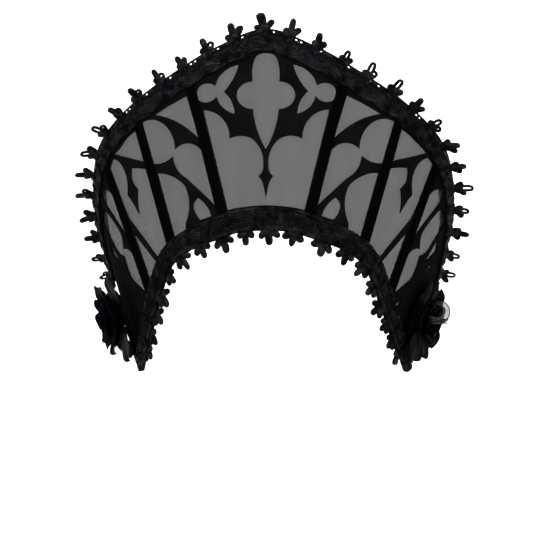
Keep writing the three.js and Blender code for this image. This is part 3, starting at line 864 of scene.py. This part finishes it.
def make_rim_lace():
    """The far edge's guipure: a band folded over the edge that puffs between its picots, with
    strands laid in waves on it, an eyeleted edge and a picot over each repeat."""
    reach = fold_reach(RIM_FOLD, RIM_WIDTH)
    wave = 2 * math.pi / RIM_REPEAT["apart"]
    dice = random.Random(2)

    def puffed(flat):
        along, width, rise = flat.T
        swell = np.sin(np.clip(np.abs(width) / reach, 0, 1) * math.pi) ** 0.8
        puff = (RIM_SWELL["puff"] * MM * (1 + np.cos(along * wave + 1.1))
                + RIM_SWELL["sway"] * MM * np.sin(along * wave * 0.61 + 2))
        ripple = RIM_SWELL["ripple"] * MM * np.sin(along * wave * 2.7 + width * 500)
        return rim_lace_place(np.column_stack([along, width, rise + (puff + ripple) * swell]))

    def scalloped(flat):
        along, width, rise = flat.T
        edge = np.clip(np.abs(width) / reach, 0, 1) ** 3
        width = width + np.sign(width) * edge * RIM_SWELL["scallop"] * MM * np.cos(along * wave)
        return puffed(np.column_stack([along, width, rise]))

    flat = cut_sheet(2 * HALF_RIM, 2 * reach, *GROUND_STEPS)
    band = lace_ground(flat, "rim_lace_band", "rim_lace", scalloped)

    layers = []
    for back, strands in ((False, RIM_STRANDS), (True, RIM_STRANDS[::2])):
        parts = [long_strand(dice, RIM_REPEAT, HALF_RIM, RIM_WAVE, crest, dip, radius, RIM_LEVELS["strands"])
                 for crest, dip, radius in strands]
        parts.append(long_strand(
            dice, RIM_REPEAT, HALF_RIM, RIM_BORDER["wave"], reach / MM - RIM_BORDER["crest"],
            reach / MM - RIM_BORDER["dip"], RIM_BORDER["radius"], RIM_LEVELS["border"]))
        for x in repeats(RIM_REPEAT, HALF_RIM):
            parts += rim_motif(dice, x, back)
        layers.append(joined(parts))
    bmesh.ops.scale(layers[1], vec=(1, -1, 1), verts=layers[1].verts)
    bmesh.ops.reverse_faces(layers[1], faces=layers[1].faces)
    relief = lace_threads(layers, "rim_lace_cords", "rim_lace", puffed)
    edge = lace_threads(rim_edge(dice), "rim_lace_edging", "rim_lace", rim_edge_place)
    picots = make_picots("rim_lace_picots", "rim_lace", RIM_PICOT, 7, rim_edge_place)


# Picots, in millimetres and degrees: each lobe's lean, its share of the length, and the
# width of its loop. The thread is wrapped thick, so most loops close up. Towards the fan's
# sides they flare outwards and lift off the edge, over the repeats given.
PICOT_LEVEL = 0.85 * MM
RIM_PICOT = {
    "repeat": RIM_REPEAT, "root": -0.6, "length": (11.4, 13.2), "lengths": {-1: 14.6, 0: 14.4, 1: 14},
    "thread": 1.3, "twist": 20, "turned_share": 0, "open_share": 0.35, "knot": (3.6, 7.2, 1.6),
    "lobes": [(-3, 1.0, 2.8), (36, 0.74, 3.0), (-38, 0.56, 2.6)],
    "flare": 70, "flares_over": (3, 8), "lifts": 3,
}
INNER_PICOT = {
    "repeat": INNER_REPEAT, "root": 1.6, "length": (11.4, 13), "lengths": {0: 13.2},
    "thread": 1.5, "twist": 14, "turned_share": 0, "open_share": 0, "knot": (3.8, 7.6, 1.8),
    "lobes": [(0, 1.0, 3.2), (44, 0.8, 3.0), (-44, 0.8, 3.0)],
    "flare": 12, "flares_over": (2, 8), "lifts": 0,
}


def loop_path(length, width, turn, foot=(0, 0)):
    """A closed loop with a round top, which stands on its foot and leans by a turn."""
    angles = np.radians(np.arange(0, 360, 20))
    rise = length / 2 * (1 - np.cos(angles))
    out = width / 2 * np.sign(np.sin(angles)) * np.abs(np.sin(angles)) ** 0.7 * (0.55 + 0.45 * rise / length)
    lean = math.radians(turn)
    x = foot[0] + out * math.cos(lean) + rise * math.sin(lean)
    y = foot[1] + rise * math.cos(lean) - out * math.sin(lean)
    return np.column_stack([x, y, np.zeros(len(x))])


def picot(dice, kind, length):
    """A picot in the flat, standing up from 0: lobes of wrapped thread on a knotted root."""
    bm = bmesh.new()
    wrap = kind["thread"]
    for lean, share, width in kind["lobes"]:
        tall = length * share * dice.uniform(0.92, 1.06) - wrap
        turn = lean + dice.uniform(-6, 6)
        opened = dice.random() < kind["open_share"]
        wide = width * (dice.uniform(1.3, 1.5) if opened else dice.uniform(0.85, 1.05))
        thread(bm, loop_path(tall, wide, turn) * MM, wrap * (0.85 if opened else 1) * MM, sides=8,
               closed=True)
        filled = dice.uniform(0.4, 0.55) if opened else 0.85
        rod = np.linspace(0, 1, 6)[:, None] * (math.sin(math.radians(turn)), math.cos(math.radians(turn)), 0)
        thread(bm, rod * tall * filled * MM, wrap * MM)
    height, width, thick = kind["knot"]
    thread(bm, loop_path(height, width, 0) * MM, thick * MM, sides=8, closed=True)
    return bm


def make_picots(name, node, kind, seed, edge_place):
    """A lace's picots, one over each repeat, each twisted its own way when it was sewn."""
    dice = random.Random(seed)
    parts = []
    apart, aside = kind["repeat"]["apart"], kind["repeat"]["aside"]
    first, last = kind["flares_over"]
    for k in range(-aside, aside + 1):
        length = kind["lengths"].get(k, dice.uniform(*kind["length"]))
        motif = picot(dice, kind, length)
        turned = k != 0 and dice.random() < kind["turned_share"]
        twist = dice.choice((-1, 1)) * dice.uniform(58, 80) if turned else dice.uniform(-1, 1) * kind["twist"]
        share = min(max((abs(k) - first) / (last - first), 0), 1)
        placed = (Matrix.Translation((k * apart, -kind["root"] * MM, kind["lifts"] * share * MM))
                  @ Matrix.Rotation(math.radians(kind["flare"] * share), 4, "X")
                  @ Matrix.Rotation(math.radians(dice.uniform(-9, 9)), 4, "Z")
                  @ Matrix.Rotation(math.radians(twist), 4, "Y"))
        bmesh.ops.transform(motif, matrix=placed, verts=motif.verts)
        parts.append(motif)
    return lace_threads(parts, name, node, lambda flat: edge_place(flat * (1, -1, 1) + (0, 0, PICOT_LEVEL)))


def inner_width_at(along):
    share = np.minimum(np.abs(along) / INNER_WIDTH["narrows_over"], 1)
    return INNER_WIDTH["middle"] + (INNER_WIDTH["side"] - INNER_WIDTH["middle"]) * share


# The forehead's lace: nested arcs over each picot, from the outermost in, and a rosette
# between picots
INNER_THREAD = 0.62
INNER_LEVEL = 0.8
INNER_ARCS = [
    [(-4.6, 9.4), (-2, 11.2), (0, 11.7), (2, 11.1), (4.6, 9.2)],
    [(-4.2, 7.4), (-1.8, 9.3), (0, 9.7), (2.2, 9.1), (4.2, 7.2)],
    [(-3.4, 5.6), (-1, 7.4), (1.2, 7.3), (3.2, 5.6)],
]
INNER_KNOT = {"up": 13.6, "size": (1.3, 0.4), "thread": 0.95}
ROSETTE = {"middle": (8.75, 8.6), "petals": 5, "length": 4.0, "width": 2.4, "thread": 0.6}
ROSETTE_EYE = {"size": (0.6, 0.6), "thread": 0.75}
FOLD_STITCHES = {"aside": 5, "pitch": 1.65, "thread": 0.6}
INNER_EYELETS = {"aside": 2, "pitch": 3.5, "up": 16.2, "size": (0.95, 0.85), "thread": 0.42, "share": 0.8}
# Strands along the whole lace, near its far edge, above the fold, on it, and at the back.
# Each waves between two heights.
INNER_STRANDS = {"far": (-0.2, 0.2), "low": (2.2, 3), "fold": (-0.2, 0.2), "back": (0.6, 1.4)}
INNER_BORDER = 0.6
INNER_STRAND_RADIUS = 0.68
INNER_STRAND_LEVEL = 0.6
INNER_WAVE = [(-4, 0), (0, 1), (4, 0), (8, 1)]
INNER_SWELL = {"puff": 0.4, "sway": 0.3}


def inner_motif(dice, x):
    """One repeat of the forehead's lace: nested arcs over the picot with a knot on top, a
    rosette between picots, short stitches by the fold and eyelets near the far edge."""
    rise = INNER_LEVEL
    near = dice.uniform(-0.5, 0.5)
    parts = [ring((x + near, INNER_KNOT["up"]), INNER_KNOT["size"], INNER_KNOT["thread"], rise + 0.35)]
    for arc in INNER_ARCS:
        parts.append(strand([(x + (along or near), up, rise) for along, up in arc], INNER_THREAD))
    between = 360 / ROSETTE["petals"]
    turn = dice.uniform(0, between)
    cx, cy = ROSETTE["middle"]
    cx, cy = x + cx + dice.uniform(-0.7, 0.7), cy + dice.uniform(-0.6, 0.6)
    for k in range(ROSETTE["petals"]):
        path = loop_path(ROSETTE["length"], ROSETTE["width"], turn + between * k, (cx, cy)) + (0, 0, rise)
        parts.append(lone_thread(path * MM, ROSETTE["thread"] * MM, closed=True))
    parts.append(ring((cx, cy), ROSETTE_EYE["size"], ROSETTE_EYE["thread"], rise + 0.5))
    for k in range(-FOLD_STITCHES["aside"], FOLD_STITCHES["aside"] + 1):
        foot = x + k * FOLD_STITCHES["pitch"] + dice.uniform(-0.3, 0.3)
        parts.append(strand([(foot, 1.6, rise - 0.2), (foot + 0.2, 3, rise + 0.1), (foot, 4.2, rise - 0.2)],
                            FOLD_STITCHES["thread"]))
    for k in range(-INNER_EYELETS["aside"], INNER_EYELETS["aside"] + 1):
        if dice.random() < INNER_EYELETS["share"]:
            along = x + INNER_EYELETS["pitch"] * k + dice.uniform(-0.3, 0.3)
            parts.append(ring((along, INNER_EYELETS["up"]), INNER_EYELETS["size"], INNER_EYELETS["thread"],
                              rise))
    for side in SIDES:
        parts.append(strand([(x + side * 5, 12.6, rise), (x + side * 6.6, 14.2, rise + 0.2),
                             (x + side * 8.6, 14.9, rise)], INNER_THREAD))
    return parts


def make_inner_lace():
    """The forehead guipure: a folded band, wider in the middle, closely worked all over,
    with picots that hang from its fold."""
    front = fold_reach(INNER_FOLD, INNER_WIDTH["middle"])
    back = fold_reach(INNER_FOLD, INNER_WIDTH["turned_under"])
    wave = 2 * math.pi / INNER_REPEAT["apart"]
    dice = random.Random(4)

    def narrowed(flat):
        along, width, rise = flat.T
        share = inner_width_at(along) / INNER_WIDTH["middle"]
        swell = np.sin(np.clip(width / front, 0, 1) * math.pi)
        puff = (INNER_SWELL["puff"] * MM * (1 + np.cos(along * wave))
                + INNER_SWELL["sway"] * MM * np.sin(along * wave * 0.57 + width * 200))
        width = np.where(width > 0, width * share, width)
        return inner_lace_place(np.column_stack([along, width, rise + puff * swell]))

    flat = cut_sheet(2 * HALF_INNER, front + back, *GROUND_STEPS, (0, (front - back) / 2))
    band = lace_ground(flat, "forehead_lace_band", "forehead_lace", narrowed)

    parts = []
    for x in repeats(INNER_REPEAT, HALF_INNER):
        parts += inner_motif(dice, x)
    from_fold = {"far": front / MM - INNER_BORDER, "low": 0, "fold": 0, "back": -back / MM}
    for name, (low, high) in INNER_STRANDS.items():
        parts.append(long_strand(dice, INNER_REPEAT, HALF_INNER, INNER_WAVE, from_fold[name] + low,
                                 from_fold[name] + high, INNER_STRAND_RADIUS, INNER_STRAND_LEVEL))
    relief = lace_threads(parts, "forehead_lace_cords", "forehead_lace", narrowed)
    picots = make_picots("forehead_lace_picots", "forehead_lace", INNER_PICOT, 11, inner_edge_place)


# The end laces' cords, in millimetres: their places across, as shares of the lace's reach,
# the height of their waves and how far those lie apart
END_CORDS = {"at": (-0.75, -0.25, 0.25, 0.75), "wave": 0.8, "apart": 6, "level": 0.6, "radius": 0.65}
END_STEPS = (1.2 * MM, 0.8 * MM)
END_TUCK = 1 * MM


def make_end_lace(side):
    """Narrow lace folded over an end of the fan, between the two long laces."""
    node = f"end_lace_{SIDES[side]}"
    reach = fold_reach(END_FOLD, END_WIDTH)
    ends = INNER_WIDTH["side"] - END_TUCK, float(height_at(np.array([HALF_WIDTH]))[0]) - RIM_WIDTH
    place = end_lace_place(side)
    flat = cut_sheet(ends[1] - ends[0], 2 * reach, *END_STEPS, ((ends[0] + ends[1]) / 2, 0))
    band = lace_ground(flat, f"{node}_band", node, place)
    cords = bmesh.new()
    along = np.arange(ends[0], ends[1], 1 * MM)
    for share in END_CORDS["at"]:
        width = reach * share
        wave = np.sin(along * 2 * math.pi / (END_CORDS["apart"] * MM) + width * 900) * END_CORDS["wave"] * MM
        thread(cords, np.column_stack([along, width + wave, np.full(len(along), END_CORDS["level"] * MM)]),
               END_CORDS["radius"] * MM)
    relief = lace_threads([cords], f"{node}_cords", node, place)


# Roses, in millimetres and degrees: each row's petals from the outside in. A petal's cloth
# leaves its root at one slope, reaches the other, and rolls back over the last stretch.
PETAL_ROWS = [
    {"count": 9, "turned": 10, "root": 10, "low": 3, "length": 24.5, "from": 27, "to": 2, "spread": 70},
    {"count": 7, "turned": 35, "root": 8.5, "low": 4.4, "length": 24.5, "from": 54, "to": 22, "spread": 74},
    {"count": 5, "turned": 10, "root": 7, "low": 4.8, "length": 20.5, "from": 74, "to": 50, "spread": 96},
    {"count": 4, "turned": 45, "root": 5.2, "low": 5, "length": 17.5, "from": 84, "to": 70, "spread": 120},
]
PETAL_GRID = {"across": 12, "along": 12}
PETAL_ROLL = {"share": 0.16, "turn": 190}
# How a petal's corners are rounded off, how it narrows past a share of its length, and how
# far it laps its neighbour, ripples and droops
PETAL_SHAPE = {
    "rounded": 0.42, "narrowed": 0.3, "narrows_from": 0.55, "narrows_over": 0.45,
    "laps": 1.8, "ripple": 0.8, "ripples": 4.2, "droops": 1.6,
}
PETAL_CUT = {"width_per_degree": 0.3, "area_share": 0.76}
# The petals towards the fan's low corner were cut longer
LONG_PETALS = {"towards": 290, "extra": 0.14}
ROSES = {-1: {"seed": 3, "lift": 0.98, "up": 38}, 1: {"seed": 5, "lift": 0.62, "up": 35}}
SATIN = 0.5 * MM
ROSE_HEART = {
    "turns": 2.2, "inside": 0.7, "pitch": 1.6, "low": 5, "height": 17.5, "flare": 1.2, "slope": 1.2,
    "strip": 45, "steps": (1 / 60, 1 / 8),
}


def petal_profile(row, length, roll):
    """A petal's middle line, from root to lip: distances out of the rose's axis and up it."""
    count = 60
    shares = (np.arange(count) + 0.5) / count
    slope = row["from"] + (row["to"] - row["from"]) * shares
    rolled = np.clip((shares - 1 + PETAL_ROLL["share"]) / PETAL_ROLL["share"], 0, 1)
    slope = np.radians(slope - roll * rolled)
    step = length / count
    out = row["root"] + np.concatenate([[0], np.cumsum(np.cos(slope) * step)])
    up = row["low"] + np.concatenate([[0], np.cumsum(np.sin(slope) * step)])
    return np.linspace(0, 1, count + 1), out, up


def rose_place(side):
    """Places in a rose's own millimetres, round its axis, as points of the headdress."""
    at = np.array([side * across_at_station(ROSE_STATION)])
    point, _, rise, outwards = (v[0] for v in frame_at(at, np.array([ROSES[side]["up"] * MM])))
    sideways = np.cross(rise, outwards) * side
    origin = point + outwards * ROSE_SEAT
    lift = ROSES[side]["lift"]
    return lambda flat: origin + MM * (
        flat[:, :1] * sideways + flat[:, 1:2] * rise + flat[:, 2:] * lift * outwards)


def add_petal(bm, dice, row, turned):
    """Adds a cupped petal with a rolled lip, turned round the rose, and gives its flat area."""
    turned += dice.uniform(-7, 7)
    longer = max(0, math.cos(math.radians(turned - LONG_PETALS["towards"]))) * LONG_PETALS["extra"]
    length = row["length"] * dice.uniform(0.92, 1.06) * (1 + longer)
    roll = PETAL_ROLL["turn"] * dice.uniform(0.7, 1.15)
    phase = dice.uniform(0, 6)
    tilt = dice.uniform(-1.2, 1.2)
    shares, outs, ups = petal_profile(row, length, roll)
    shape, spread = PETAL_SHAPE, row["spread"]
    cut = bm.loops.layers.uv["cut"]
    old = set(bm.faces)
    verts = bmesh.ops.create_grid(bm, x_segments=PETAL_GRID["across"], y_segments=PETAL_GRID["along"],
                                  size=0.5)["verts"]
    for face in set(bm.faces) - old:
        for loop in face.loops:
            loop[cut].uv = (loop.vert.co.x * spread * PETAL_CUT["width_per_degree"] * MM,
                            (loop.vert.co.y + 0.5) * length * MM)
    for vert in verts:
        u, v = vert.co.x * 2, vert.co.y + 0.5
        reach = v * (1 - shape["rounded"] * abs(u) ** 3)
        out, up = (float(np.interp(reach, shares, line)) for line in (outs, ups))
        past = max(0, (v - shape["narrows_from"]) / shape["narrows_over"])
        ripple = shape["ripple"] * math.sin(shape["ripples"] * u + phase)
        angle = math.radians(turned + u * spread / 2 * (1 - shape["narrowed"] * past**2))
        out += shape["laps"] * u * v
        up += (ripple - shape["droops"] * u * u + tilt * u) * v * v
        vert.co = (out * math.cos(angle), out * math.sin(angle), up)
    return length * math.radians(spread) * float(np.mean(outs)) * PETAL_CUT["area_share"]


def make_rose(side):
    """A rose: rows of lapped petals round a rolled strip."""
    dice = random.Random(ROSES[side]["seed"])
    place = rose_place(side)
    bm = bmesh.new()
    bm.loops.layers.uv.new("cut")
    area = 0.0
    for row in PETAL_ROWS:
        for k in range(row["count"]):
            area += add_petal(bm, dice, row, row["turned"] + 360 * k / row["count"])
    label = SIDES[side]
    made = piece(bm, f"rose_petals_{label}_satin", "satin", [f"rose_petals_{label}"], place)
    thicken(made, SATIN, 1)

    def rolled(flat):
        along, height, _ = flat.T
        turn = along * ROSE_HEART["turns"]
        radius = ROSE_HEART["inside"] + ROSE_HEART["pitch"] * turn + ROSE_HEART["flare"] * height**3
        angle = 2 * math.pi * turn
        up = ROSE_HEART["low"] + ROSE_HEART["height"] * height - ROSE_HEART["slope"] * along * height
        return place(np.column_stack([radius * np.cos(angle), radius * np.sin(angle), up]))

    bm = cut_sheet(1, 1, *ROSE_HEART["steps"], (0.5, 0.5))
    heart = piece(bm, f"rose_heart_{label}_satin", "satin", [f"rose_heart_{label}"], rolled)
    strip = (ROSE_HEART["strip"] * MM, ROSE_HEART["height"] * ROSES[side]["lift"] * MM)
    for loop in heart.data.uv_layers["cut"].data:
        loop.uv = (loop.uv.x * strip[0], loop.uv.y * strip[1])
    thicken(heart, SATIN, 1)
    return made


# The organza ribbon at the right rose, in the rose's millimetres: the middle lines of its
# loop and of its cut end, and the way that its width lies
RIBBON_WIDTH = 4.9
RIBBON = {
    "start": 0, "length": 42, "middle": (-10, 5, 23.5), "size": (1.5, 7, 11), "from": 140, "to": -125,
    "tilt": 25,
}
RIBBON_END = {
    "start": 100, "length": 26, "line": [(-8, -3.4, 12), (-9, -3.2, 21), (-10, -1.8, 32), (-11, -0.6, 41)],
    "lie": [(0.3, 0.9, 0.2), (0.3, 0.9, 0), (0.3, 0.9, -0.1), (0.35, 0.85, -0.2)],
}
ORGANZA = 0.15 * MM
SELVAGES = {-1: 0.5 * MM * 0.6, 1: 0.5 * MM}
SELVAGE_POINTS = 50


def make_ribbon(petals):
    """A loop of see-through ribbon and its cut end, tucked between the right rose's petals."""
    place = rose_place(1)
    lift = ROSES[1]["lift"]

    def looped(flat):
        share = flat[:, 0] / (RIBBON["length"] * MM)
        angle = np.radians(RIBBON["from"] + (RIBBON["to"] - RIBBON["from"]) * share)
        tilt = math.radians(RIBBON["tilt"])
        swing = np.column_stack([np.cos(angle), np.sin(angle), np.cos(angle)])
        lie = np.column_stack([np.full(len(flat), math.sin(tilt)), np.sin(angle) * math.cos(tilt),
                               np.cos(angle) * math.cos(tilt) / lift])
        return np.array(RIBBON["middle"]) + swing * RIBBON["size"], lie

    def ended(flat):
        share = (flat[:, 0] / MM - RIBBON_END["start"]) / RIBBON_END["length"]
        line, lie = (point_on(np.array(RIBBON_END[key], float), share) for key in ("line", "lie"))
        return line, unit(lie)

    def ribbon_place(flat):
        in_loop = flat[:, :1] < RIBBON_END["start"] / 2 * MM
        line, lie = (np.where(in_loop, a, b) for a, b in zip(looped(flat), ended(flat)))
        square = unit(np.cross(lie, (1, 0.2, 0.1)))
        return place(line + lie * (flat[:, 1:2] / MM) + square * flat[:, 2:] / MM)

    parts = []
    selvages = bmesh.new()
    for strip in (RIBBON, RIBBON_END):
        start, length = strip["start"], strip["length"]
        parts.append(cut_sheet(length * MM, RIBBON_WIDTH * MM, 0.9 * MM, 1.2 * MM,
                               ((start + length / 2) * MM, 0)))
        along = np.linspace(start, start + length, SELVAGE_POINTS) * MM
        for side, radius in SELVAGES.items():
            thread(selvages, np.column_stack([along, np.full(len(along), side * RIBBON_WIDTH / 2 * MM),
                                              np.zeros(len(along))]), radius)
    made = piece(joined(parts), "organza_ribbon", "organza", ["rose_petals_right"], ribbon_place)
    thicken(made, ORGANZA)
    bmesh.ops.recalc_face_normals(selvages, faces=selvages.faces)
    selvage = piece(selvages, "organza_ribbon_selvage", "satin", ["rose_petals_right"], ribbon_place)
    length = (RIBBON["length"] + RIBBON_END["length"]) * MM


# The camera and the studio, in metres, degrees and watts
CAMERA = {"sensor": 36, "lens": 142.9, "place": (0.0944, -1.497, -0.02765), "turned": 3.5}
BACKDROP = {
    "front": -4, "back": 1.6, "radius": 0.8, "bend_from": 0.15, "bend_points": 12, "top": 5, "width": 10,
    "floor": -0.45,
}
SURROUND = 0.4
LIGHTS = {
    "key_softbox": {"place": (-0.9, -1.6, 1.3), "aim": (0, 0, 0), "size": 1.0, "spread": 180, "power": 46},
    "fill_softbox": {"place": (1.3, -1.3, 0.5), "aim": (0, 0, 0), "size": 1.2, "spread": 180, "power": 18},
    "wall_softbox": {"place": (0, 0.9, 1.7), "aim": (0, 2.2, 0.5), "size": 1.0, "spread": 85, "power": 23},
}


def make_camera():
    camera = bpy.data.cameras.new("camera")
    camera.sensor_width = CAMERA["sensor"]
    camera.lens = CAMERA["lens"]
    made = bpy.data.objects.new("camera", camera)
    made.location = CAMERA["place"]
    made.rotation_euler = (math.radians(90), 0, math.radians(CAMERA["turned"]))
    bpy.context.scene.collection.objects.link(made)
    bpy.context.scene.camera = made


def make_backdrop():
    """A pale floor that curves up behind into a wall."""
    back, radius = BACKDROP["back"], BACKDROP["radius"]
    bm = bmesh.new()
    profile = [bm.verts.new((0, BACKDROP["front"], 0)), bm.verts.new((0, back, 0))]
    profile += [bm.verts.new((0, back + radius * math.sin(a), radius - radius * math.cos(a)))
                for a in np.linspace(BACKDROP["bend_from"], math.pi / 2, BACKDROP["bend_points"])]
    profile.append(bm.verts.new((0, back + radius, BACKDROP["top"])))
    edges = [bm.edges.new(pair) for pair in zip(profile, profile[1:])]
    bmesh.ops.translate(bm, vec=(-BACKDROP["width"] / 2, 0, BACKDROP["floor"]), verts=bm.verts)
    swept = bmesh.ops.extrude_edge_only(bm, edges=edges)["geom"]
    bmesh.ops.translate(bm, vec=(BACKDROP["width"], 0, 0),
                        verts=[v for v in swept if isinstance(v, bmesh.types.BMVert)])
    bmesh.ops.recalc_face_normals(bm, faces=bm.faces)
    mesh = bpy.data.meshes.new("backdrop")
    bm.to_mesh(mesh)
    bm.free()
    for polygon in mesh.polygons:
        polygon.use_smooth = True
    mesh.materials.append(finish(matte_white_paper))
    made = bpy.data.objects.new("backdrop", mesh)
    bpy.context.scene.collection.objects.link(made)


def make_lights():
    """Soft lights in a pale surround, under which white paper shows white."""
    bpy.context.scene.view_settings.view_transform = "Standard"
    world = bpy.data.worlds.new("pale_surround")
    bpy.context.scene.world = world
    world.use_nodes = True
    world.node_tree.nodes["Background"].inputs["Color"].default_value = (1, 1, 1, 1)
    world.node_tree.nodes["Background"].inputs["Strength"].default_value = SURROUND
    for name, lit in LIGHTS.items():
        light = bpy.data.lights.new(name, "AREA")
        light.shape = "SQUARE"
        light.size = lit["size"]
        light.spread = math.radians(lit["spread"])
        light.energy = lit["power"]
        lamp = bpy.data.objects.new(name, light)
        lamp.location = lit["place"]
        towards = Vector(lit["aim"]) - Vector(lit["place"])
        lamp.rotation_euler = towards.to_track_quat("-Z", "Y").to_euler()
        bpy.context.scene.collection.objects.link(lamp)


make_camera()
make_backdrop()
make_lights()
make_net()
make_tracery()
for rib_name in RIB_STATIONS:
    for rib_side in SIDES:
        make_rib(rib_name, rib_side)
make_rim_lace()
make_inner_lace()
for rose_side in ROSES:
    make_end_lace(rose_side)
    rose_petals = make_rose(rose_side)
make_ribbon(rose_petals)
